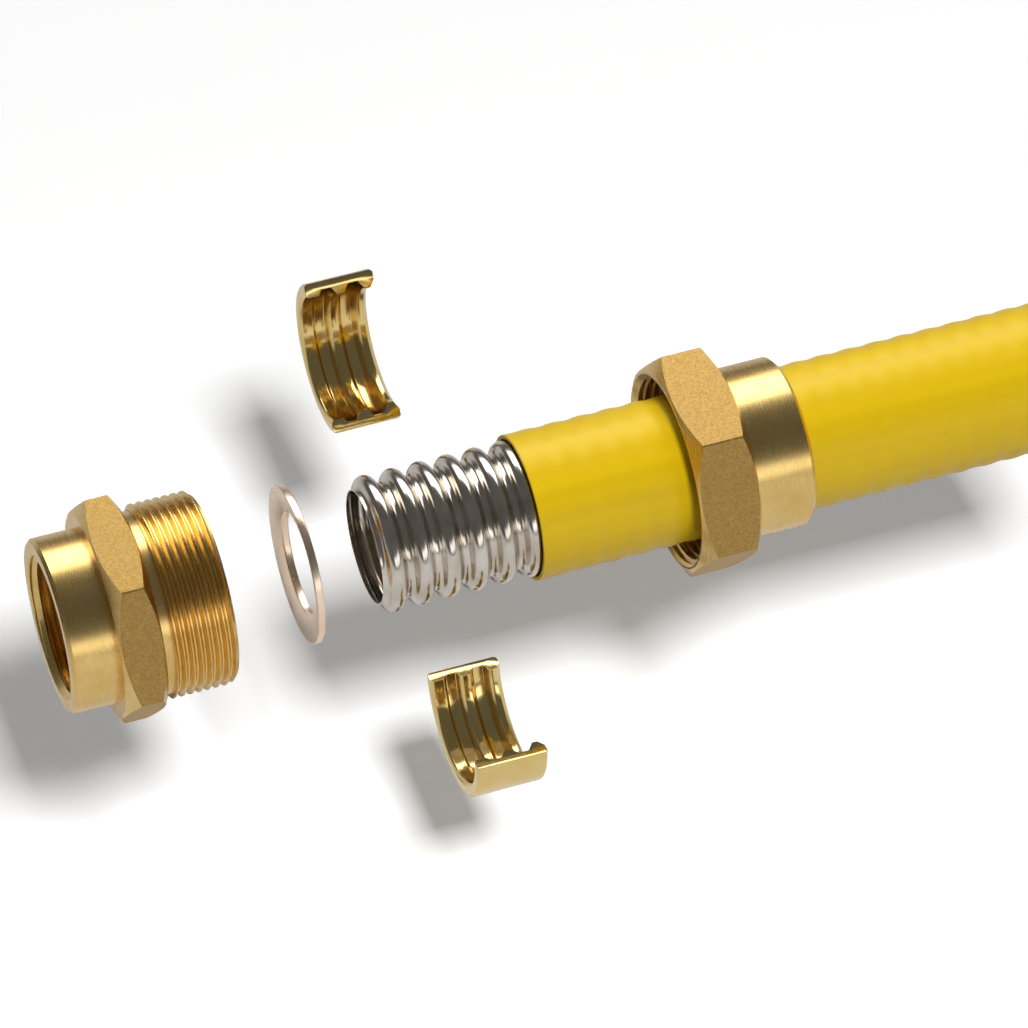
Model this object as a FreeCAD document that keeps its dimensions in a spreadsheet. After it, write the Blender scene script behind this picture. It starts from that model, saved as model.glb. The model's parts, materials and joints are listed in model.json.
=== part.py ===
import FreeCAD, Part
import math
import os
import Sketcher

# A flare fitting for corrugated stainless gas pipe, its pieces standing apart along a
# sample of the pipe.  X runs along the pipe, from the fitting towards the pipe, and +Z
# is up.  The origin is on the pipe's axis at its far end.  Millimetres and degrees.

DIMENSIONS = {
    # corrugated pipe and its jacket
    "corrugation_count": 27,
    "corrugation_pitch": 6.6,
    "crest_radius": 16.05,
    "corrugation_depth": 2.55,
    "crest_round": 2.0,
    "tube_wall": 0.3,
    "bare_length": 37.2,
    "jacket_gap": 0.1,
    "jacket_wall": 1.05,
    "jacket_edge": 0.25,
    "jacket_sink": 0.16,
    "jacket_land": 2.6,
    # split retaining ring
    "ring_gap": 0.2,
    "ring_wall": 2.05,
    "ring_face_inset": 1.4,
    "ring_flank_angle": 57,
    "ring_crests_ahead": 1,
    "front_land_gap": 1.5,
    "middle_land_gap": 0.9,
    "rear_land_gap": 0.5,
    "ring_edge": 0.6,
    "ring_setback": 0.3,
    # dished copper gasket
    "gasket_bore_radius": 12.35,
    "gasket_thickness": 1.8,
    "gasket_dish": 1.2,
    "gasket_edge_gap": 0.15,
    "gasket_end_gap": 0.05,
    "seat_gap": 0.05,
    # fitting body
    "flow_radius": 12.0,
    "recess_gap": 0.35,
    "recess_depth": 19.5,
    "recess_wall": 2.62,
    "thread_length": 14.7,
    "neck_length": 2.5,
    "neck_undercut": 0.07,
    "body_hex_length": 10.0,
    "socket_length": 10.8,
    "socket_wall": 3.68,
    "socket_edge": 0.8,
    "socket_depth": 14.5,
    "socket_bottom_edge": 1.0,
    "gas_thread_tail": 2.4,
    "gas_thread_radius": 16.62,
    "gas_thread_depth": 1.475,
    "gas_thread_pitch": 2.309,
    "gas_thread_angle": 27.5,
    "gas_root_width": 0.35,
    "gas_entry": 0.3,
    # union thread, cut on the body and in the nut
    "thread_pitch": 2.0,
    "thread_depth": 1.23,
    "thread_angle": 30,
    "thread_crest_width": 0.25,
    "thread_gap": 0.15,
    "thread_crest_gap": 0.28,
    "thread_edge": 1.2,
    # hexagons of the body and the nut
    "hex_wall": 1.5,
    "hex_turn": 6,
    "hex_face_inset": 0.6,
    "hex_chamfer_angle": 30,
    "hex_round": 0.5,
    # union nut
    "nut_hex_length": 14.5,
    "nut_length": 29.5,
    "nut_entry": 0.25,
    "nut_thread_reach": 13.0,
    "nut_relief_length": 2.0,
    "nut_relief_depth": 0.1,
    "pocket_depth": 17.5,
    "pocket_gap": 0.15,
    "shoulder_gap": 0.1,
    "collar_gap": 0.25,
    "collar_wall": 1.0,
    "collar_edge": 0.8,
    "collar_fillet": 1.0,
    # jacket seal in the nut's collar
    "seal_round": 0.85,
    "seal_gap": 0.05,
    "seal_side_gap": 0.1,
    "seal_lip": 1.0,
    # how far each piece stands from its made-up place
    "gasket_travel": 14.0,
    "body_travel": 39.0,
    "nut_travel": 62.2,
    "split_turn": 22,
    "upper_pole_y": 27.4,
    "upper_pole_z": -67.8,
    "upper_swing": -56,
    "lower_pole_y": 16.4,
    "lower_pole_z": -40.7,
    "lower_swing": 60,
    # room that a cutting outline has beyond the surface that it cuts
    "cut_margin": 1.0,
    "thread_cut_margin": 0.1,
}

doc = FreeCAD.newDocument("flare_fitting")
sheet = doc.addObject("Spreadsheet::Sheet", "size")
for row, (word, number) in enumerate(DIMENSIONS.items(), start=1):
    sheet.set(f"A{row}", word)
    sheet.set(f"B{row}", str(number))
    sheet.setAlias(f"B{row}", word)
doc.recompute()

# Radii, from the pipe outwards.
VALLEY_RADIUS = "(size.crest_radius - size.corrugation_depth)"
JACKET_BORE = "(size.crest_radius + size.jacket_gap)"
JACKET_RADIUS = f"({JACKET_BORE} + size.jacket_wall)"
RING_GROOVE_RADIUS = "(size.crest_radius + size.ring_gap)"
RING_RADIUS = f"({RING_GROOVE_RADIUS} + size.ring_wall)"
RECESS_RADIUS = f"({RING_RADIUS} + size.recess_gap)"
GASKET_RADIUS = f"({RECESS_RADIUS} - size.gasket_edge_gap)"
ROOT_RADIUS = f"({RECESS_RADIUS} + size.recess_wall)"
THREAD_RADIUS = f"({ROOT_RADIUS} + size.thread_depth)"
NECK_RADIUS = f"({ROOT_RADIUS} - size.neck_undercut)"
HEX_RADIUS = f"({THREAD_RADIUS} + size.hex_wall)"
HEX_FACE_RADIUS = f"({HEX_RADIUS} - size.hex_face_inset)"
NUT_ROOT_RADIUS = f"({THREAD_RADIUS} + size.thread_gap)"
NUT_CREST_RADIUS = f"({ROOT_RADIUS} + size.thread_crest_gap)"
POCKET_RADIUS = f"({RING_RADIUS} + size.pocket_gap)"
COLLAR_BORE = f"({JACKET_RADIUS} + size.collar_gap)"
SEAL_RADIUS = f"({JACKET_RADIUS} + size.seal_gap + size.seal_round)"
SEAL_GROOVE_RADIUS = f"({SEAL_RADIUS} + size.seal_round + size.seal_gap)"
COLLAR_RADIUS = f"({SEAL_GROOVE_RADIUS} + size.collar_wall)"
GAS_CREST_RADIUS = "(size.gas_thread_radius - size.gas_thread_depth)"
SOCKET_RADIUS = "(size.gas_thread_radius + size.socket_wall)"

# Lengths.
PIPE_LENGTH = "(size.corrugation_count * size.corrugation_pitch)"
RING_LENGTH = "(3 * size.corrugation_pitch - 2 * size.ring_face_inset)"
HEX_END = "(size.socket_length + size.body_hex_length)"
BODY_LENGTH = f"({HEX_END} + size.neck_length + size.thread_length)"
SEAL_GROOVE_LENGTH = "(2 * size.seal_round + 2 * size.seal_side_gap)"
DISH_SLOPE = f"(size.gasket_dish / ({GASKET_RADIUS} - size.gasket_bore_radius))"

# Places along the pipe when the fitting is made up hand tight.
CUT_END = f"(-{PIPE_LENGTH})"
RING_FRONT = (
    f"({CUT_END} + (size.ring_crests_ahead + 0.5) * size.corrugation_pitch"
    " + size.ring_face_inset)"
)
NUT_FRONT = f"({RING_FRONT} + {RING_LENGTH} + size.shoulder_gap - size.pocket_depth)"
GASKET_REAR = f"({CUT_END} - size.gasket_end_gap)"
GASKET_FRONT = f"({GASKET_REAR} - size.gasket_thickness - size.gasket_dish)"
SEAT_FOOT = (
    f"({GASKET_FRONT} - size.seat_gap - {DISH_SLOPE} * size.gasket_edge_gap)"
)
BODY_FRONT = f"({SEAT_FOOT} + size.recess_depth - {BODY_LENGTH})"


def value(expression):
    """The number that an expression comes to."""
    result = sheet.evalExpression(expression)
    return float(getattr(result, "Value", result))


def new_body(label):
    """An empty body, with the name that its file has."""
    body = doc.addObject("PartDesign::Body", label)
    body.Label = label
    return body


def sketch_on(body, name, role, offset="0"):
    """A sketch on one of the body's own planes, or set off from it."""
    sketch = body.newObject("Sketcher::SketchObject", name)
    plane = next(item for item in body.Origin.OriginFeatures if item.Role == role)
    sketch.AttachmentSupport = [(plane, "")]
    sketch.MapMode = "FlatFace"
    sketch.setExpression("AttachmentOffset.Base.z", offset)
    return sketch


def arc_between(start, end, radius):
    """The short arc from start to end: anticlockwise for a radius above zero."""
    chord = end - start
    side = math.copysign(1, radius)
    left = FreeCAD.Vector(-chord.y, chord.x, 0).normalize() * side
    height = math.sqrt(radius**2 - (chord.Length / 2) ** 2)
    centre = (start + end) / 2 + left * height
    circle = Part.Circle(centre, FreeCAD.Vector(0, 0, 1), abs(radius))
    angles = [math.atan2(p.y - centre.y, p.x - centre.x) for p in (start, end)]
    if radius < 0:
        angles.reverse()
    return Part.ArcOfCircle(circle, *angles)


def draw(sketch, corners):
    """Close an outline through corners, each (across, up) or (across, up, radius).

    A radius bends the edge that leaves its corner, as arc_between says.
    """
    points = [FreeCAD.Vector(value(c[0]), value(c[1]), 0) for c in corners]
    ends = []
    for number, corner in enumerate(corners):
        start = points[number]
        end = points[(number + 1) % len(points)]
        if len(corner) == 2:
            sketch.addGeometry(Part.LineSegment(start, end), False)
            ends.append((1, 2))
            continue
        radius = value(corner[2])
        sketch.addGeometry(arc_between(start, end, radius), False)
        ends.append((1, 2) if radius > 0 else (2, 1))
    for number, corner in enumerate(corners):
        following = (number + 1) % len(corners)
        first, last = ends[number]
        sketch.addConstraint(
            Sketcher.Constraint("Coincident", number, last, following, ends[following][0])
        )
        for kind, expression in zip(("DistanceX", "DistanceY"), corner):
            rule = Sketcher.Constraint(kind, -1, 1, number, first, value(expression))
            place = sketch.addConstraint(rule)
            sketch.setExpression(f"Constraints[{place}]", expression)
        if len(corner) == 3:
            radius = value(corner[2])
            rule = Sketcher.Constraint("Radius", number, abs(radius))
            place = sketch.addConstraint(rule)
            sketch.setExpression(f"Constraints[{place}]", f"abs({corner[2]})")


def turn(body, name, corners, kind="PartDesign::Revolution"):
    """Turn an outline of (along, radius) corners round the pipe's axis."""
    sketch = sketch_on(body, f"{name}_outline", "XZ_Plane")
    draw(sketch, corners)
    feature = body.newObject(kind, name)
    feature.Profile = sketch
    feature.ReferenceAxis = (sketch, ["H_Axis"])
    feature.Angle = 360
    doc.recompute()
    return feature


def turn_out(body, name, corners):
    """Turn an outline and take it away, making sure that it takes something."""
    before = body.Shape.Volume
    feature = turn(body, name, corners, "PartDesign::Groove")
    if body.Shape.Volume >= before:
        raise RuntimeError(f"{name} cuts nothing")
    return feature


def repeat(body, name, feature, count):
    """Repeat a turned feature along the pipe, once for each corrugation counted."""
    row = body.newObject("PartDesign::LinearPattern", name)
    row.Originals = [feature]
    row.Direction = (feature.Profile[0], ["H_Axis"])
    row.Mode = "Spacing"
    row.setExpression("Offset", "size.corrugation_pitch")
    row.setExpression("Occurrences", count)
    body.Tip = row
    doc.recompute()


def cut_thread(body, name, corners, pitch, length):
    """Take a right-hand screw thread's groove out of a body."""
    before = body.Shape.Volume
    sketch = sketch_on(body, f"{name}_outline", "XZ_Plane")
    draw(sketch, corners)
    helix = body.newObject("PartDesign::SubtractiveHelix", name)
    helix.Profile = sketch
    helix.ReferenceAxis = (sketch, ["H_Axis"])
    helix.Mode = "pitch-height-angle"
    helix.Angle = 0
    helix.setExpression("Pitch", pitch)
    helix.setExpression("Height", length)
    doc.recompute()
    if body.Shape.Volume >= before:
        raise RuntimeError(f"{name} cuts nothing")


def is_hexagon_corner(edge):
    """Whether an edge lies along the pipe at the radius of a hexagon's corners."""
    start, end = edge.Vertexes[0].Point, edge.Vertexes[-1].Point
    corner = value(HEX_RADIUS) / math.cos(math.pi / 6)
    at_corner = math.isclose(math.hypot(start.y, start.z), corner, rel_tol=1e-6)
    return at_corner and math.dist((start.y, start.z), (end.y, end.z)) < 1e-6


def add_hexagon(body, name, start, length):
    """Add a hexagon with eased corners, which are turned off at both ends."""
    sketch = sketch_on(body, f"{name}_outline", "YZ_Plane", start)
    corner_radius = f"{HEX_RADIUS} / cos(30)"
    corners = []
    for number in range(6):
        angle = f"(size.hex_turn + {60 * number})"
        corners.append((f"{corner_radius} * cos({angle})", f"{corner_radius} * sin({angle})"))
    draw(sketch, corners)
    pad = body.newObject("PartDesign::Pad", name)
    pad.Profile = sketch
    pad.setExpression("Length", length)
    doc.recompute()
    edges = enumerate(body.Shape.Edges, start=1)
    easing = body.newObject("PartDesign::Fillet", f"{name}_corners")
    easing.Base = (pad, [f"Edge{number}" for number, edge in edges if is_hexagon_corner(edge)])
    easing.setExpression("Radius", "size.hex_round")
    doc.recompute()
    outside = f"({corner_radius} + size.cut_margin)"
    reach = f"({outside} - {HEX_FACE_RADIUS}) * tan(size.hex_chamfer_angle)"
    for end, face, inwards in (("front", start, "+"), ("rear", f"{start} + {length}", "-")):
        turn_out(body, f"{name}_{end}_chamfer", [
            (face, HEX_FACE_RADIUS),
            (f"{face} {inwards} {reach}", outside),
            (face, outside),
        ])


def place(thing, along, across="0", up="0"):
    """Put a sub-part at its place, by expressions of the sheet's sizes."""
    for axis, expression in (("x", along), ("y", across), ("z", up)):
        thing.setExpression(f"Placement.Base.{axis}", expression)


def corrugated_tube():
    """Thin stainless pipe, one corrugation from valley to valley repeated along it."""
    pitch = "size.corrugation_pitch"
    bend = f"(2 * atan(2 * size.corrugation_depth / {pitch}))"
    valley_round = f"({pitch} / (2 * sin({bend})) - size.crest_round)"

    def wall_side(depth):
        """The ends of the three arcs on one side of the wall, and their radii."""
        valley = f"({valley_round} + {depth})"
        crest = f"(size.crest_round - {depth})"
        foot = f"{VALLEY_RADIUS} - {depth}"
        run = f"{valley} * sin({bend})"
        rise = f"{foot} + {valley} * (1 - cos({bend}))"
        return foot, run, rise, valley, crest

    foot, run, rise, valley, crest = wall_side("0")
    outside = [
        ("0", foot, valley),
        (run, rise, f"-{crest}"),
        (f"{pitch} - {run}", rise, valley),
        (pitch, foot),
    ]
    foot, run, rise, valley, crest = wall_side("size.tube_wall")
    inside = [
        (pitch, foot, f"-{valley}"),
        (f"{pitch} - {run}", rise, crest),
        (run, rise, f"-{valley}"),
        ("0", foot),
    ]
    body = new_body("corrugated_tube")
    corrugation = turn(body, "corrugation", outside + inside)
    repeat(body, "corrugations", corrugation, "size.corrugation_count")
    place(body, CUT_END)
    return body


def jacket():
    """Yellow plastic cover, stripped back from the cut end of the pipe.

    It sinks a little over each valley, and keeps its full radius at the far end.
    """
    body = new_body("jacket")
    length = f"({PIPE_LENGTH} - size.bare_length)"
    turn(body, "cover", [
        ("0", JACKET_BORE),
        (length, JACKET_BORE),
        (length, JACKET_RADIUS),
        ("size.jacket_edge", JACKET_RADIUS),
        ("0", f"{JACKET_RADIUS} - size.jacket_edge"),
    ])
    pitch = "size.corrugation_pitch"
    bare = f"ceil(size.bare_length / {pitch})"
    valley = f"({bare} * {pitch} - size.bare_length)"
    half = f"(({pitch} - size.jacket_land) / 2)"
    sink_round = f"(({half}^2 / size.jacket_sink + size.jacket_sink) / 2)"
    sink = turn_out(body, "sink", [
        (f"{valley} - {half}", JACKET_RADIUS, sink_round),
        (f"{valley} + {half}", JACKET_RADIUS),
        (f"{valley} + {half}", f"{JACKET_RADIUS} + size.cut_margin"),
        (f"{valley} - {half}", f"{JACKET_RADIUS} + size.cut_margin"),
    ])
    repeat(body, "sinks", sink, f"size.corrugation_count - {bare}")
    place(body, f"-{length}")
    return body


def split_ring(label, split_turn, swing, pole_y, pole_z):
    """Half of the brass ring that locks on two crests, swung aside about its pole.

    The bore's flanks stand clear of the crests, and its lands reach into the valleys.
    """
    centre = "(size.crest_radius - size.crest_round)"
    reach = "(size.crest_round + size.ring_gap)"
    angle = "size.ring_flank_angle"

    def from_crest(radius):
        """How far from a crest the flank is, along the pipe, at a radius."""
        return f"(({reach} - ({radius} - {centre}) * cos({angle})) / sin({angle}))"

    crests = [f"({n} * size.corrugation_pitch - size.ring_face_inset)" for n in range(4)]
    mouth = f"{centre} + ({reach} - size.ring_face_inset * sin({angle})) / cos({angle})"
    lands = ("size.front_land_gap", "size.middle_land_gap", "size.rear_land_gap")
    bore = [("0", mouth)]
    for number, land_gap in enumerate(lands):
        land = f"({VALLEY_RADIUS} + {land_gap})"
        start = f"{crests[number]} + {from_crest(land)}"
        end = f"{crests[number + 1]} - {from_crest(land)}"
        bore += [(start, land), (end, land)]
        if number < 2:
            groove = from_crest(RING_GROOVE_RADIUS)
            for side in ("-", "+"):
                bore.append((f"{crests[number + 1]} {side} {groove}", RING_GROOVE_RADIUS))
    body = new_body(label)
    turn(body, f"{label}_ring", bore + [
        (RING_LENGTH, mouth),
        (RING_LENGTH, f"{RING_RADIUS} - size.ring_edge"),
        (f"{RING_LENGTH} - size.ring_edge", RING_RADIUS),
        ("size.ring_edge", RING_RADIUS),
        ("0", f"{RING_RADIUS} - size.ring_edge"),
    ])
    whole = body.Shape.Volume
    sketch = sketch_on(body, f"{label}_other_half", "YZ_Plane")
    outside = f"({RING_RADIUS} + size.cut_margin)"
    draw(sketch, [
        (f"-{outside}", f"-{outside}"),
        ("size.ring_setback", f"-{outside}"),
        ("size.ring_setback", outside),
        (f"-{outside}", outside),
    ])
    split = body.newObject("PartDesign::Pocket", f"{label}_split")
    split.Profile = sketch
    split.Type = "ThroughAll"
    split.Reversed = True
    doc.recompute()
    if body.Shape.Volume > 0.5 * whole:
        raise RuntimeError(f"{label} is not cut in half")
    body.Placement.Rotation = FreeCAD.Rotation(FreeCAD.Vector(1, 0, 0), 1)
    body.setExpression("Placement.Rotation.Angle", f"({split_turn}) + ({swing})")
    across = f"{pole_y} - {pole_y} * cos({swing}) + {pole_z} * sin({swing})"
    up = f"{pole_z} - {pole_y} * sin({swing}) - {pole_z} * cos({swing})"
    place(body, RING_FRONT, across, up)
    return body


def copper_gasket():
    """Dished washer that the body presses on the pipe's cut end."""
    body = new_body("copper_gasket")
    turn(body, "washer", [
        ("0", GASKET_RADIUS),
        ("size.gasket_dish", "size.gasket_bore_radius"),
        ("size.gasket_dish + size.gasket_thickness", "size.gasket_bore_radius"),
        ("size.gasket_thickness", GASKET_RADIUS),
    ])
    place(body, f"{GASKET_FRONT} - size.gasket_travel")
    return body


def fitting_body():
    """Brass body: threaded gas socket, hexagon, neck and threaded end with its recess."""
    body = new_body("fitting_body")
    turn(body, "barrel", [
        ("0", "0"),
        (BODY_LENGTH, "0"),
        (BODY_LENGTH, f"{THREAD_RADIUS} - size.thread_edge"),
        (f"{BODY_LENGTH} - size.thread_edge", THREAD_RADIUS),
        (f"{HEX_END} + size.neck_length", THREAD_RADIUS),
        (f"{HEX_END} + size.neck_length", NECK_RADIUS),
        ("size.socket_length", NECK_RADIUS),
        ("size.socket_length", SOCKET_RADIUS),
        ("size.socket_edge", SOCKET_RADIUS),
        ("0", f"{SOCKET_RADIUS} - size.socket_edge"),
    ])
    add_hexagon(body, "body_hexagon", "size.socket_length", "size.body_hex_length")
    mouth = "(size.gas_thread_radius + size.gas_entry)"
    seat = f"({BODY_LENGTH} - size.recess_depth)"
    turn_out(body, "bore", [
        ("-size.cut_margin", "0"),
        ("-size.cut_margin", f"{mouth} + size.cut_margin"),
        (f"{mouth} - {GAS_CREST_RADIUS}", GAS_CREST_RADIUS),
        ("size.socket_depth - size.socket_bottom_edge", GAS_CREST_RADIUS),
        ("size.socket_depth", f"{GAS_CREST_RADIUS} - size.socket_bottom_edge"),
        ("size.socket_depth", "size.flow_radius"),
        (f"{seat} + {DISH_SLOPE} * ({RECESS_RADIUS} - size.flow_radius)", "size.flow_radius"),
        (seat, RECESS_RADIUS),
        (f"{BODY_LENGTH} + size.cut_margin", RECESS_RADIUS),
        (f"{BODY_LENGTH} + size.cut_margin", "0"),
    ])
    gas_start = "(-1.5 * size.gas_thread_pitch)"
    narrow = "size.gas_root_width / 2"
    tip = f"({GAS_CREST_RADIUS} - size.thread_cut_margin)"
    widening = f"(size.gas_thread_radius - {tip}) * tan(size.gas_thread_angle)"
    cut_thread(body, "gas_thread", [
        (f"{gas_start} - {narrow} - {widening}", tip),
        (f"{gas_start} + {narrow} + {widening}", tip),
        (f"{gas_start} + {narrow}", "size.gas_thread_radius"),
        (f"{gas_start} - {narrow}", "size.gas_thread_radius"),
    ], "size.gas_thread_pitch", f"size.socket_depth - size.gas_thread_tail - {gas_start}")
    top = f"({THREAD_RADIUS} + size.thread_cut_margin)"
    wide = "((size.thread_pitch - size.thread_crest_width) / 2)"
    flank = "tan(size.thread_angle)"
    start = GROOVE_START
    cut_thread(body, "union_thread", [
        (f"{start} - {wide} - size.thread_cut_margin * {flank}", top),
        (f"{start} + {wide} + size.thread_cut_margin * {flank}", top),
        (f"{start} + {wide} - size.thread_depth * {flank}", ROOT_RADIUS),
        (f"{start} - {wide} + size.thread_depth * {flank}", ROOT_RADIUS),
    ], "size.thread_pitch", f"{BODY_LENGTH} + size.thread_pitch - {start}")
    place(body, f"{BODY_FRONT} - size.gasket_travel - size.body_travel")
    return body


# The body's thread groove starts in its neck.  The nut's groove takes the ridge beside it
# when the two are screwed together, so it starts a whole number of turns from that ridge.
GROOVE_START = f"({HEX_END} + size.thread_pitch / 2)"
RIDGE = f"({BODY_FRONT} + {GROOVE_START} + size.thread_pitch / 2 - {NUT_FRONT})"
NUT_GROOVE_START = f"(mod({RIDGE}; size.thread_pitch) - 2 * size.thread_pitch)"


def flare_nut():
    """Brass nut: it screws on the body and its shoulder pushes the split ring."""
    body = new_body("flare_nut")
    foot = f"({COLLAR_RADIUS} + size.collar_fillet)"
    turn(body, "nut_blank", [
        ("0", "0"),
        ("size.nut_length", "0"),
        ("size.nut_length", f"{COLLAR_RADIUS} - size.collar_edge"),
        ("size.nut_length - size.collar_edge", COLLAR_RADIUS),
        ("size.nut_hex_length + size.collar_fillet", COLLAR_RADIUS, "-size.collar_fillet"),
        ("size.nut_hex_length", foot),
        ("0", foot),
    ])
    add_hexagon(body, "nut_hexagon", "0", "size.nut_hex_length")
    mouth = f"({NUT_ROOT_RADIUS} + size.nut_entry)"
    relief_start = "(size.nut_thread_reach - size.nut_relief_length)"
    relief_radius = f"({NUT_ROOT_RADIUS} + size.nut_relief_depth)"
    turn_out(body, "nut_bore", [
        ("-size.cut_margin", "0"),
        ("-size.cut_margin", f"{mouth} + size.cut_margin"),
        (f"{mouth} - {NUT_CREST_RADIUS}", NUT_CREST_RADIUS),
        (relief_start, NUT_CREST_RADIUS),
        (relief_start, relief_radius),
        ("size.nut_thread_reach", relief_radius),
        ("size.nut_thread_reach", POCKET_RADIUS),
        ("size.pocket_depth", POCKET_RADIUS),
        ("size.pocket_depth", COLLAR_BORE),
        ("size.nut_length + size.cut_margin", COLLAR_BORE),
        ("size.nut_length + size.cut_margin", "0"),
    ])
    groove_rear = "(size.nut_length - size.seal_lip)"
    groove_front = f"({groove_rear} - {SEAL_GROOVE_LENGTH})"
    turn_out(body, "seal_groove", [
        (groove_front, f"{COLLAR_BORE} - size.cut_margin"),
        (groove_rear, f"{COLLAR_BORE} - size.cut_margin"),
        (groove_rear, SEAL_GROOVE_RADIUS),
        (groove_front, SEAL_GROOVE_RADIUS),
    ])
    flank = "tan(size.thread_angle)"
    clear = "size.thread_gap / cos(size.thread_angle)"
    narrow = f"(size.thread_crest_width / 2 - size.thread_gap * {flank} + {clear})"
    tip = f"({NUT_CREST_RADIUS} - size.thread_cut_margin)"
    widening = f"({NUT_ROOT_RADIUS} - {tip}) * {flank}"
    start = NUT_GROOVE_START
    cut_thread(body, "nut_thread", [
        (f"{start} - {narrow} - {widening}", tip),
        (f"{start} + {narrow} + {widening}", tip),
        (f"{start} + {narrow}", NUT_ROOT_RADIUS),
        (f"{start} - {narrow}", NUT_ROOT_RADIUS),
    ], "size.thread_pitch", f"{relief_start} + size.nut_relief_length / 2 - {start}")
    place(body, f"{NUT_FRONT} + size.nut_travel")
    return body


def jacket_seal():
    """Rubber ring in the nut's collar, which wipes on the jacket."""
    ring = doc.addObject("Part::Torus", "jacket_seal")
    ring.setExpression("Radius1", SEAL_RADIUS)
    ring.setExpression("Radius2", "size.seal_round")
    ring.Placement.Rotation = FreeCAD.Rotation(FreeCAD.Vector(0, 1, 0), 90)
    middle = f"size.nut_length - size.seal_lip - {SEAL_GROOVE_LENGTH} / 2"
    place(ring, f"{NUT_FRONT} + size.nut_travel + {middle}")
    return ring


parts = [
    corrugated_tube(),
    jacket(),
    split_ring(
        "split_ring_upper", "size.split_turn",
        "size.upper_swing", "size.upper_pole_y", "size.upper_pole_z",
    ),
    split_ring(
        "split_ring_lower", "size.split_turn + 180",
        "size.lower_swing", "size.lower_pole_y", "size.lower_pole_z",
    ),
    copper_gasket(),
    fitting_body(),
    flare_nut(),
    jacket_seal(),
]
doc.recompute()

for item in doc.Objects:
    if "Invalid" in item.State or "Error" in item.State:
        raise RuntimeError(f"{item.Label} did not build: {item.State}")
for part in parts:
    if part.Shape.isNull() or not part.Shape.isValid():
        raise RuntimeError(f"{part.Label} has no valid shape")

os.makedirs("parts", exist_ok=True)
for part in parts:
    part.Shape.exportStep(f"parts/{part.Label}.step")
    box = part.Shape.BoundBox
    print(f"{part.Label}: {len(part.Shape.Solids)} solid, {part.Shape.Volume:.1f} mm3,"
          f" x {box.XMin:.2f} to {box.XMax:.2f}, y {box.YMin:.2f} to {box.YMax:.2f},"
          f" z {box.ZMin:.2f} to {box.ZMax:.2f}")
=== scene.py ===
import bmesh
import bpy
import json
from math import atan, cos, pi, radians, sin
from mathutils import Matrix, Vector


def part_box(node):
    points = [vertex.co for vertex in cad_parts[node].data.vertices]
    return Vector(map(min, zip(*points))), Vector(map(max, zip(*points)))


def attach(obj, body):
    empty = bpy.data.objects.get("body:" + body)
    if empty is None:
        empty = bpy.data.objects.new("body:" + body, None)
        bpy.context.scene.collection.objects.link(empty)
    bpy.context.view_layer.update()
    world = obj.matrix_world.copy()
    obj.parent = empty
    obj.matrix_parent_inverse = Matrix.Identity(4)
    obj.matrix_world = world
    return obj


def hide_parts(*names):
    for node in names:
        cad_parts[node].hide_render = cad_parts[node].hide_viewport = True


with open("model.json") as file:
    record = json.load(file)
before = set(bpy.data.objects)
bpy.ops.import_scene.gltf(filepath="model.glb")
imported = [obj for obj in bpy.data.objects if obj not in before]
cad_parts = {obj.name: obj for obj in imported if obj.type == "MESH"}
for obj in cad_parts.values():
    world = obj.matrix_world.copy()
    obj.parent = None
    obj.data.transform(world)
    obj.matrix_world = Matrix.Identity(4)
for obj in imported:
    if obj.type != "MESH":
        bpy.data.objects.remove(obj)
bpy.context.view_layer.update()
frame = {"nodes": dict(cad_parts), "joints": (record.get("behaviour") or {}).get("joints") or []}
MM = 0.001

# --- Corrugated pipe -------------------------------------------------------------------
# Thin stainless strip, welded into a tube and rolled into even rings.  The tube cutter
# leaves its end square, in the bottom of a valley.

tube_front, tube_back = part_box("corrugated_tube")
corrugations = 27
pitch = (tube_back.x - tube_front.x) / corrugations
crest_radius = tube_back.z
valley_radius = crest_radius - 2.55 * MM
crest_round = 2.0 * MM
tube_wall = 0.3 * MM
outer_steps, inner_steps = 5, 3
bend = 2 * atan(2 * (crest_radius - valley_radius) / pitch)
valley_round = pitch / (2 * sin(bend)) - crest_round


def side_of_wall(depth, points_per_bend):
    """One side of the tube's wall, from the cut end, depth below the outer surface."""
    valley = valley_round + depth
    crest = crest_round - depth
    line = []
    for number in range(corrugations):
        start = tube_front.x + number * pitch
        arcs = (
            (start, valley_radius + valley_round, -valley, 0.0, bend),
            (start + pitch / 2, crest_radius - crest_round, crest, -bend, bend),
            (start + pitch, valley_radius + valley_round, -valley, -bend, 0.0),
        )
        for centre, middle, radius, first, last in arcs:
            steps = max(1, round(points_per_bend * (last - first) / bend))
            for step in range(steps):
                angle = first + (last - first) * step / steps
                line.append(
                    (centre + abs(radius) * sin(angle), middle + radius * cos(angle))
                )
    line.append((tube_back.x, valley_radius - depth))
    return line


join_distance = 0.001 * MM


def turned(outline, steps=96):
    """A piece turned round the pipe's axis from a closed outline of (along, radius)."""
    shape = bmesh.new()
    ring = [shape.verts.new((along, 0, radius)) for along, radius in outline]
    edges = [shape.edges.new((a, b)) for a, b in zip(ring, ring[1:] + ring[:1])]
    bmesh.ops.spin(
        shape, geom=ring + edges, cent=(0, 0, 0), axis=(1, 0, 0),
        angle=2 * pi, steps=steps, use_merge=True,
    )
    bmesh.ops.remove_doubles(shape, verts=shape.verts, dist=join_distance)
    bmesh.ops.recalc_face_normals(shape, faces=shape.faces)
    return shape


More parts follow.
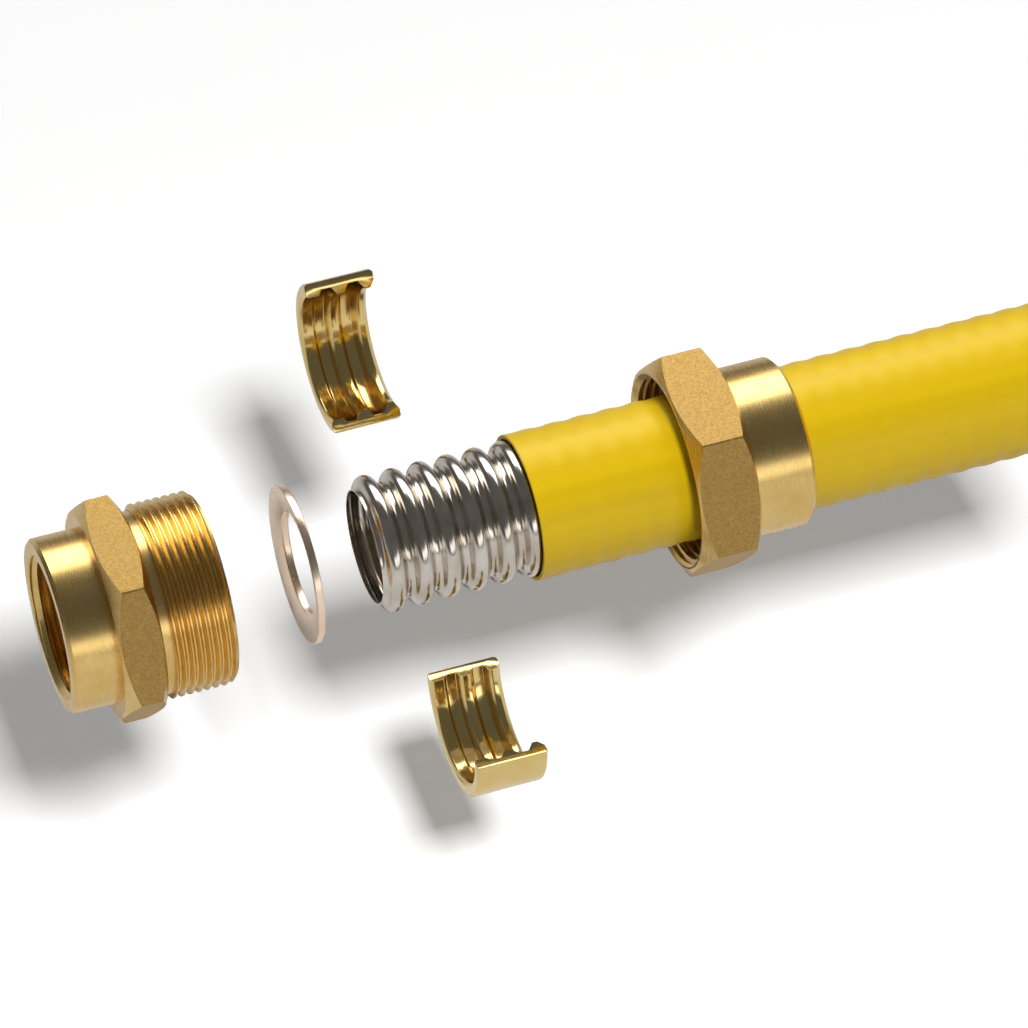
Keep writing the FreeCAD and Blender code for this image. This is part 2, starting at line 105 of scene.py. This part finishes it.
def finish_piece(shape, name, body, node, material, sharp=35):
    """Put a finished shape in the scene, smooth but for edges over sharp degrees."""
    for face in shape.faces:
        face.smooth = True
    for edge in shape.edges:
        if len(edge.link_faces) == 2 and edge.calc_face_angle() > radians(sharp):
            edge.smooth = False
    mesh = bpy.data.meshes.new(name)
    shape.to_mesh(mesh)
    shape.free()
    mesh.materials.append(material)
    piece = bpy.data.objects.new(name, mesh)
    bpy.context.scene.collection.objects.link(piece)
    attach(piece, body)
    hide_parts(node)
    return piece


def linear(colour):
    """A hex colour as the linear red, green, blue and alpha that a node takes."""
    parts = [int(colour[place:place + 2], 16) / 255 for place in (1, 3, 5)]
    return [
        part / 12.92 if part <= 0.04045 else ((part + 0.055) / 1.055) ** 2.4
        for part in parts
    ] + [1]


def add_node(tree, kind, settings=None, **inputs):
    """Add a node: its settings, then each input as a value or as a socket to link.

    An input is given by its name, or by _ and its number where names repeat.
    """
    node = tree.nodes.new(kind)
    for name, setting in (settings or {}).items():
        setattr(node, name, setting)
    for name, source in inputs.items():
        number = name[1:]
        socket = node.inputs[int(number) if number.isdigit() else name.replace("_", " ")]
        if isinstance(source, bpy.types.NodeSocket):
            tree.links.new(source, socket)
        else:
            socket.default_value = source
    return node


def new_material(name):
    """An empty material, with its tree and its shader."""
    material = bpy.data.materials.new(name)
    material.use_nodes = True
    tree = material.node_tree
    return material, tree, tree.nodes["Principled BSDF"]


# Bright-rolled 304 strip.  The rolls leave lines round the tube, 0.1 mm apart and some
# 3 mm long, and handling leaves 6 mm clouds: a warm grey mirror, a little brushed.

draw_line_gap, draw_line_length = MM / 9, MM / 0.3
strip_cloud = MM / 0.16
draw_line_depth = 0.02 * MM


def rolled_stainless():
    """A warm grey mirror, with fine draw lines round the tube."""
    material, tree, shader = new_material("rolled_stainless")
    place = add_node(tree, "ShaderNodeTexCoord").outputs["Object"]
    lines = add_node(
        tree, "ShaderNodeMapping", Vector=place,
        Scale=(1 / draw_line_gap, 1 / draw_line_length, 1 / draw_line_length),
    )
    fine = add_node(
        tree, "ShaderNodeTexNoise", Vector=lines.outputs[0], Scale=1.0, Detail=3.0,
    )
    bloom = add_node(
        tree, "ShaderNodeTexNoise", Vector=place, Scale=1 / strip_cloud, Detail=2.0,
    )
    tint = add_node(tree, "ShaderNodeValToRGB", Fac=bloom.outputs["Fac"])
    tint.color_ramp.elements[0].position = 0.35
    tint.color_ramp.elements[0].color = linear("#C9BFB2")
    tint.color_ramp.elements[1].position = 0.7
    tint.color_ramp.elements[1].color = linear("#E2DCD3")
    rough = add_node(
        tree, "ShaderNodeMapRange", Value=fine.outputs["Fac"], To_Min=0.13, To_Max=0.24,
    )
    bump = add_node(
        tree, "ShaderNodeBump", Strength=0.12, Distance=draw_line_depth,
        Height=fine.outputs["Fac"],
    )
    tree.links.new(tint.outputs[0], shader.inputs["Base Color"])
    tree.links.new(rough.outputs[0], shader.inputs["Roughness"])
    tree.links.new(bump.outputs[0], shader.inputs["Normal"])
    shader.inputs["Metallic"].default_value = 1.0
    return material


tube_outline = side_of_wall(0.0, outer_steps) + side_of_wall(tube_wall, inner_steps)[::-1]
finish_piece(
    turned(tube_outline), "corrugated_pipe", "pipe", "corrugated_tube",
    rolled_stainless(),
)

# --- Yellow jacket ---------------------------------------------------------------------
# Smooth plastic, extruded over the rolled pipe.  It shrinks a little into each valley as
# it cools, and a knife leaves a square end with its corner barely rounded.

jacket_front, jacket_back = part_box("jacket")
jacket_radius = jacket_back.z
jacket_bore = crest_radius + 0.1 * MM
jacket_sink = 0.28 * MM
jacket_edge = 0.22 * MM
jacket_edge_steps = 4
skin_steps_per_pitch = 10


def jacket_skin():
    """The jacket's outline: a rounded cut end, then a skin that follows the crests."""
    line = []
    for step in range(jacket_edge_steps + 1):
        angle = pi / 2 * step / jacket_edge_steps
        line.append((
            jacket_front.x + jacket_edge * (1 - sin(angle)),
            jacket_radius - jacket_edge * (1 - cos(angle)),
        ))
    line.reverse()
    length = jacket_back.x - jacket_front.x
    steps = round(length / pitch * skin_steps_per_pitch)
    for step in range(1, steps + 1):
        along = jacket_front.x + jacket_edge + (length - jacket_edge) * step / steps
        phase = 2 * pi * (along - tube_front.x - pitch / 2) / pitch
        sink = jacket_sink * (0.5 - 0.5 * cos(phase))
        from_cut = min(1, (along - jacket_front.x) / pitch)
        line.append((along, jacket_radius - sink * from_cut))
    line.append((jacket_back.x, jacket_bore))
    line.append((jacket_front.x + jacket_edge, jacket_bore))
    line.append((jacket_front.x, jacket_bore + jacket_edge))
    return line


# Polyethylene with a yellow pigment, drawn through a die: streaks 4 mm wide run along it,
# over pores of 0.4 mm.  It looks satin, with one broad, soft highlight.

streak_length, streak_width = MM / 0.008, MM / 0.26
pore = MM / 2.6
pore_depth = 0.02 * MM


def extruded_yellow():
    """A satin yellow skin, faintly streaked along its length."""
    material, tree, shader = new_material("extruded_yellow")
    place = add_node(tree, "ShaderNodeTexCoord").outputs["Object"]
    streaks = add_node(
        tree, "ShaderNodeMapping", Vector=place,
        Scale=(1 / streak_length, 1 / streak_width, 1 / streak_width),
    )
    drawn = add_node(
        tree, "ShaderNodeTexNoise", Vector=streaks.outputs[0], Scale=1.0, Detail=4.0,
    )
    pores = add_node(
        tree, "ShaderNodeTexNoise", Vector=place, Scale=1 / pore, Detail=2.0,
    )
    tint = add_node(tree, "ShaderNodeValToRGB", Fac=drawn.outputs["Fac"])
    tint.color_ramp.elements[0].position = 0.3
    tint.color_ramp.elements[0].color = linear("#B8980A")
    tint.color_ramp.elements[1].position = 0.75
    tint.color_ramp.elements[1].color = linear("#C0A00C")
    rough = add_node(
        tree, "ShaderNodeMapRange", Value=drawn.outputs["Fac"], To_Min=0.34, To_Max=0.44,
    )
    bump = add_node(
        tree, "ShaderNodeBump", Strength=0.25, Distance=pore_depth,
        Height=pores.outputs["Fac"],
    )
    tree.links.new(tint.outputs[0], shader.inputs["Base Color"])
    tree.links.new(rough.outputs[0], shader.inputs["Roughness"])
    tree.links.new(bump.outputs[0], shader.inputs["Normal"])
    shader.inputs["IOR"].default_value = 1.5
    shader.inputs["Specular IOR Level"].default_value = 0.22
    return material


finish_piece(
    turned(jacket_skin()), "yellow_jacket", "pipe", "jacket",
    extruded_yellow(),
)

# --- Fitting body ----------------------------------------------------------------------
# A hot brass forging, blasted, then turned: the hexagon's flats keep the forged skin, and
# the socket, neck, thread and recess are bright from the lathe.  The nut is made the same
# way.  Both keep their designed shapes.

hex_flat_radius = 24.0 * MM
weld_distance = 0.0005 * MM


def smooth_node(node, sharp=28):
    """Weld a designed part's loose triangles and keep its edges crisp."""
    part = frame["nodes"][node]
    for polygon in part.data.polygons:
        polygon.use_smooth = True
    weld = part.modifiers.new("weld", "WELD")
    weld.merge_threshold = weld_distance
    split = part.modifiers.new("crisp_edges", "EDGE_SPLIT")
    split.split_angle = radians(sharp)
    split.use_edge_sharp = False
    return part


# Free-cutting brass.  The lathe leaves rings 0.15 mm apart, which spread a highlight into
# a long soft band, over 8 mm clouds of tarnish.  Blasted flats are dull and grainy: their
# grit is 0.5 mm, drawn coarser than life so that it shows.

tool_mark_gap, tool_mark_length = MM / 6.5, MM / 0.06
tarnish_cloud = MM / 0.13
blast_grit = MM / 1.9
brass_relief = 0.03 * MM
roughness_spread = 0.08
blasted_roughness = 0.5
flat_margin = 0.05 * MM
flat_slope = 0.3


def turned_brass(name, light, dark, smoothest, forged=False):
    """Lathe-turned brass, with the skin of the forging on the flats where it is forged."""
    material, tree, shader = new_material(name)
    texture = add_node(tree, "ShaderNodeTexCoord")
    place = texture.outputs["Object"]
    rings = add_node(
        tree, "ShaderNodeMapping", Vector=place,
        Scale=(1 / tool_mark_gap, 1 / tool_mark_length, 1 / tool_mark_length),
    )
    tool = add_node(
        tree, "ShaderNodeTexNoise", Vector=rings.outputs[0], Scale=1.0, Detail=4.0,
    )
    cloud = add_node(
        tree, "ShaderNodeTexNoise", Vector=place, Scale=1 / tarnish_cloud, Detail=3.0,
    )
    tint = add_node(tree, "ShaderNodeValToRGB", Fac=cloud.outputs["Fac"])
    tint.color_ramp.elements[0].position = 0.3
    tint.color_ramp.elements[0].color = linear(dark)
    tint.color_ramp.elements[1].position = 0.72
    tint.color_ramp.elements[1].color = linear(light)
    rough = add_node(
        tree, "ShaderNodeMapRange", Value=tool.outputs["Fac"],
        To_Min=smoothest, To_Max=smoothest + roughness_spread,
    )
    colour, roughness, height = tint.outputs[0], rough.outputs[0], tool.outputs["Fac"]
    if forged:
        axes = add_node(tree, "ShaderNodeSeparateXYZ", Vector=place)
        flat = add_node(tree, "ShaderNodeCombineXYZ", Y=axes.outputs[1], Z=axes.outputs[2])
        radius = add_node(
            tree, "ShaderNodeVectorMath", {"operation": "LENGTH"}, Vector=flat.outputs[0],
        )
        outside = add_node(
            tree, "ShaderNodeMath", {"operation": "GREATER_THAN"},
            _0=radius.outputs["Value"], _1=hex_flat_radius - flat_margin,
        )
        facing = add_node(tree, "ShaderNodeSeparateXYZ", Vector=texture.outputs["Normal"])
        along = add_node(
            tree, "ShaderNodeMath", {"operation": "ABSOLUTE"}, _0=facing.outputs[0],
        )
        sideways = add_node(
            tree, "ShaderNodeMath", {"operation": "LESS_THAN"},
            _0=along.outputs[0], _1=flat_slope,
        )
        skin = add_node(
            tree, "ShaderNodeMath", {"operation": "MULTIPLY"},
            _0=outside.outputs[0], _1=sideways.outputs[0],
        ).outputs[0]
        grit = add_node(
            tree, "ShaderNodeTexNoise", Vector=place, Scale=1 / blast_grit, Detail=4.0,
        )
        blast = add_node(tree, "ShaderNodeValToRGB", Fac=grit.outputs["Fac"])
        blast.color_ramp.elements[0].position = 0.35
        blast.color_ramp.elements[0].color = linear("#A58448")
        blast.color_ramp.elements[1].position = 0.68
        blast.color_ramp.elements[1].color = linear("#C09E5E")
        colour = add_node(
            tree, "ShaderNodeMix", {"data_type": "RGBA"},
            _0=skin, _6=colour, _7=blast.outputs[0],
        ).outputs[2]
        roughness = add_node(
            tree, "ShaderNodeMix", _0=skin, _2=roughness, _3=blasted_roughness,
        ).outputs[0]
        height = add_node(
            tree, "ShaderNodeMix", _0=skin, _2=height, _3=grit.outputs["Fac"],
        ).outputs[0]
    bump = add_node(
        tree, "ShaderNodeBump", Strength=0.25, Distance=brass_relief, Height=height,
    )
    tree.links.new(colour, shader.inputs["Base Color"])
    tree.links.new(roughness, shader.inputs["Roughness"])
    tree.links.new(bump.outputs[0], shader.inputs["Normal"])
    shader.inputs["Metallic"].default_value = 1.0
    return material


forged_brass = turned_brass("forged_brass", "#ECCB84", "#DFB96E", 0.23, forged=True)
for node in ("fitting_body", "flare_nut"):
    part = smooth_node(node)
    part.data.materials.clear()
    part.data.materials.append(forged_brass)

# --- Copper gasket ---------------------------------------------------------------------
# Soft copper, stamped and dished in one stroke, with its edges rounded by tumbling.  It
# seals between the pipe's cut end and the seat in the body.

gasket_front, gasket_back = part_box("copper_gasket")
gasket_radius = gasket_back.z
gasket_bore = 12.35 * MM
gasket_thickness = 1.8 * MM
gasket_edge = 0.3 * MM
gasket_dish = gasket_back.x - gasket_front.x - gasket_thickness


def bevel_sharp(shape, width, segments, sharp=25):
    """Round every edge of a shape that turns by more than sharp degrees."""
    edges = [
        edge for edge in shape.edges
        if len(edge.link_faces) == 2 and edge.calc_face_angle() > radians(sharp)
    ]
    bmesh.ops.bevel(
        shape, geom=edges, offset=width, segments=segments, profile=0.5,
        affect="EDGES", material=-1, clamp_overlap=True,
    )


# Copper, annealed so that it seals: pale pink and satin, with 4 mm clouds from its heat.

copper_cloud = MM / 0.26
copper_relief = 0.03 * MM


def annealed_copper():
    """Pale pink and satin, slightly clouded."""
    material, tree, shader = new_material("annealed_copper")
    place = add_node(tree, "ShaderNodeTexCoord").outputs["Object"]
    cloud = add_node(
        tree, "ShaderNodeTexNoise", Vector=place, Scale=1 / copper_cloud, Detail=4.0,
    )
    tint = add_node(tree, "ShaderNodeValToRGB", Fac=cloud.outputs["Fac"])
    tint.color_ramp.elements[0].position = 0.3
    tint.color_ramp.elements[0].color = linear("#FBDDBE")
    tint.color_ramp.elements[1].position = 0.7
    tint.color_ramp.elements[1].color = linear("#FFE9D2")
    rough = add_node(
        tree, "ShaderNodeMapRange", Value=cloud.outputs["Fac"], To_Min=0.22, To_Max=0.36,
    )
    bump = add_node(
        tree, "ShaderNodeBump", Strength=0.2, Distance=copper_relief,
        Height=cloud.outputs["Fac"],
    )
    tree.links.new(tint.outputs[0], shader.inputs["Base Color"])
    tree.links.new(rough.outputs[0], shader.inputs["Roughness"])
    tree.links.new(bump.outputs[0], shader.inputs["Normal"])
    shader.inputs["Metallic"].default_value = 1.0
    return material


washer = turned([
    (gasket_front.x, gasket_radius),
    (gasket_front.x + gasket_dish, gasket_bore),
    (gasket_back.x, gasket_bore),
    (gasket_back.x - gasket_dish, gasket_radius),
])
bevel_sharp(washer, gasket_edge, 4)
finish_piece(
    washer, "gasket_washer", "gasket", "copper_gasket", annealed_copper(),
)

# --- Split ring ------------------------------------------------------------------------
# Two halves of a turned brass ring, sawn apart.  Two grooves take the crests of the pipe,
# and three lands reach into its valleys.

ring_front, ring_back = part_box("split_ring_upper")
ring_radius = 18.3 * MM
ring_groove_radius = crest_radius + 0.2 * MM
ring_face_inset = 1.4 * MM
ring_flank = radians(57)
ring_setback = 0.3 * MM
ring_edge = 0.6 * MM
ring_play = 0.2 * MM
ring_saw_edge = 0.12 * MM
land_gaps = (1.5 * MM, 0.9 * MM, 0.5 * MM)
split_turn = radians(22)


def ring_outline():
    """The ring's section: its outer corners, its mouths, and the flanks of its lands."""
    centre = crest_radius - crest_round
    reach = crest_round + ring_play
    crest = [ring_front.x - ring_face_inset + number * pitch for number in range(4)]

    def from_crest(radius):
        return (reach - (radius - centre) * cos(ring_flank)) / sin(ring_flank)

    mouth = centre + (reach - ring_face_inset * sin(ring_flank)) / cos(ring_flank)
    line = [(ring_front.x, mouth)]
    for number, gap in enumerate(land_gaps):
        land = valley_radius + gap
        line.append((crest[number] + from_crest(land), land))
        line.append((crest[number + 1] - from_crest(land), land))
        if number < 2:
            groove = from_crest(ring_groove_radius)
            line.append((crest[number + 1] - groove, ring_groove_radius))
            line.append((crest[number + 1] + groove, ring_groove_radius))
    return line + [
        (ring_back.x, mouth),
        (ring_back.x, ring_radius - ring_edge),
        (ring_back.x - ring_edge, ring_radius),
        (ring_front.x + ring_edge, ring_radius),
        (ring_front.x, ring_radius - ring_edge),
    ]


def half_ring(joint_name, turn):
    """Half of the ring, turned to its side of the pipe and swung back to where it lies."""
    shape = bmesh.new()
    ring = [shape.verts.new((along, 0, radius)) for along, radius in ring_outline()]
    edges = [shape.edges.new((a, b)) for a, b in zip(ring, ring[1:] + ring[:1])]
    bmesh.ops.spin(
        shape, geom=ring + edges, cent=(0, 0, 0), axis=(1, 0, 0),
        angle=-pi, steps=64, use_merge=False,
    )
    for vert in shape.verts:
        if vert.co.y < ring_setback:
            vert.co.y = ring_setback
    bmesh.ops.remove_doubles(shape, verts=shape.verts, dist=join_distance)
    bmesh.ops.holes_fill(shape, edges=[e for e in shape.edges if e.is_boundary])
    bmesh.ops.recalc_face_normals(shape, faces=shape.faces)
    bevel_sharp(shape, ring_saw_edge, 2)
    joint = next(j for j in frame["joints"] if j["name"] == joint_name)
    pole = Vector(joint["pos_m"])
    swing = Matrix.Rotation(-radians(joint["range_deg"][1]), 4, Vector(joint["axis"]))
    place = Matrix.Translation(pole) @ swing @ Matrix.Translation(-pole)
    bmesh.ops.transform(
        shape, matrix=place @ Matrix.Rotation(turn, 4, "X"), verts=shape.verts,
    )
    return shape


# The halves are turned all over and finer than the body, so they are paler and glossier.
ring_brass = turned_brass("turned_brass", "#F3DA98", "#EACA80", 0.11)
for side, turn in (("upper", split_turn), ("lower", split_turn + pi)):
    finish_piece(
        half_ring(f"{side}_ring_swing", turn), f"ring_half_{side}", f"ring_{side}",
        f"split_ring_{side}", ring_brass,
    )

# --- Jacket seal -----------------------------------------------------------------------
# A moulded nitrile ring in the nut's collar.  It wipes on the jacket and keeps wet off
# the bare pipe.

seal_front, seal_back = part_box("jacket_seal")
seal_round = (seal_back.x - seal_front.x) / 2
seal_radius = seal_back.z - seal_round
seal_steps = 20


# Nitrile rubber from a smooth mould: black and matte, with a grey bloom in 1 mm specks.

rubber_bloom = MM / 0.9


def moulded_rubber():
    """Black and matte, with a faint bloom."""
    material, tree, shader = new_material("moulded_rubber")
    place = add_node(tree, "ShaderNodeTexCoord").outputs["Object"]
    bloom = add_node(
        tree, "ShaderNodeTexNoise", Vector=place, Scale=1 / rubber_bloom, Detail=3.0,
    )
    tint = add_node(tree, "ShaderNodeValToRGB", Fac=bloom.outputs["Fac"])
    tint.color_ramp.elements[0].color = linear("#1B1B1C")
    tint.color_ramp.elements[1].color = linear("#2C2C2D")
    rough = add_node(
        tree, "ShaderNodeMapRange", Value=bloom.outputs["Fac"], To_Min=0.55, To_Max=0.75,
    )
    tree.links.new(tint.outputs[0], shader.inputs["Base Color"])
    tree.links.new(rough.outputs[0], shader.inputs["Roughness"])
    return material


section = [
    (seal_front.x + seal_round * (1 + cos(2 * pi * step / seal_steps)),
     seal_radius + seal_round * sin(2 * pi * step / seal_steps))
    for step in range(seal_steps)
]
finish_piece(
    turned(section), "seal_ring", "seal", "jacket_seal", moulded_rubber(),
)

# --- Floor ------------------------------------------------------------------------------
# A sheet of matt white paper under the pieces, which hang above it.  It glows a little
# to the camera, so that it looks evenly white, and is a light grey where metal mirrors it.

floor_drop = 95 * MM
floor_size = 6.0
floor_glow = 0.2
bpy.ops.mesh.primitive_plane_add(size=floor_size, location=(0, 0, -floor_drop))
floor = bpy.context.object
floor.name = "floor"
sheet, tree, shader = new_material("white_sheet")
ray = add_node(tree, "ShaderNodeLightPath")
glow = add_node(
    tree, "ShaderNodeMath", {"operation": "MULTIPLY"},
    _0=ray.outputs["Is Camera Ray"], _1=floor_glow,
)
tone = add_node(
    tree, "ShaderNodeMix", {"data_type": "RGBA"}, _0=ray.outputs["Is Glossy Ray"],
    _6=linear("#F8F8F8"), _7=linear("#D8D8D8"),
)
tree.links.new(glow.outputs[0], shader.inputs["Emission Strength"])
tree.links.new(tone.outputs[2], shader.inputs["Base Color"])
shader.inputs["Emission Color"].default_value = linear("#FFFFFF")
shader.inputs["Roughness"].default_value = 0.9
floor.data.materials.append(sheet)

# --- Light ------------------------------------------------------------------------------
# A small soft key from above throws the shadows.  Wide cards behind and in front are seen
# in the metal only, and a dim room leaves its other reflections dark.

world = bpy.data.worlds.new("studio")
bpy.context.scene.world = world
world.use_nodes = True
room = world.node_tree.nodes["Background"].inputs
room["Color"].default_value = linear("#FFFFFF")
room["Strength"].default_value = 0.11

aim_past_cut_end = 36.0 * MM
aim_drop = 1.57 * MM
middle = Vector((tube_front.x + aim_past_cut_end, 0, -aim_drop))


def softbox(name, towards, distance, size, power):
    """A soft light, size in metres and power in watts, that faces the object's middle."""
    light = bpy.data.lights.new(name, "AREA")
    light.shape = "RECTANGLE"
    light.size, light.size_y = size
    light.energy = power
    lamp = bpy.data.objects.new(name, light)
    direction = Vector(towards).normalized()
    lamp.location = middle + direction * distance
    lamp.rotation_mode = "QUATERNION"
    lamp.rotation_quaternion = direction.to_track_quat("Z", "Y")
    bpy.context.scene.collection.objects.link(lamp)
    return lamp


key = softbox("key", (0.02, -0.63, 1.0), 2.5, (0.42, 0.42), 66)
key.visible_glossy = False
backdrop = softbox("backdrop", (0.24, 0.66, 0.70), 1.2, (1.7, 0.8), 14.5)
backdrop.visible_diffuse = False
front_card = softbox("front_card", (0.24, -0.95, 0.2), 1.2, (1.7, 0.34), 2.8)
front_card.visible_diffuse = False

# The light behind leaves the floor alone, so that only the key casts a shadow.
behind = softbox("behind", (0.1, 0.62, 0.78), 1.2, (1.2, 0.5), 14)
behind.visible_glossy = False
floor_only = bpy.data.collections.new("floor_only")
floor_only.objects.link(floor)
behind.light_linking.receiver_collection = floor_only
floor_only.collection_objects[0].light_linking.link_state = "EXCLUDE"

# --- Camera -----------------------------------------------------------------------------
# A long lens from the front, above and a little to the left, so that lines along the pipe
# stay nearly parallel.

view_azimuth = radians(19.5)
view_elevation = radians(45.8)
view_distance = 1.321
looking = Vector((
    sin(view_azimuth) * cos(view_elevation),
    cos(view_azimuth) * cos(view_elevation),
    -sin(view_elevation),
))
lens = bpy.data.cameras.new("camera")
lens.sensor_width = 36
lens.lens = 202.2
camera = bpy.data.objects.new("camera", lens)
camera.location = middle - looking * view_distance
camera.rotation_mode = "QUATERNION"
camera.rotation_quaternion = looking.to_track_quat("-Z", "Y")
bpy.context.scene.collection.objects.link(camera)
bpy.context.scene.camera = camera
bpy.context.scene.view_settings.view_transform = "Standard"

bpy.context.view_layer.update()
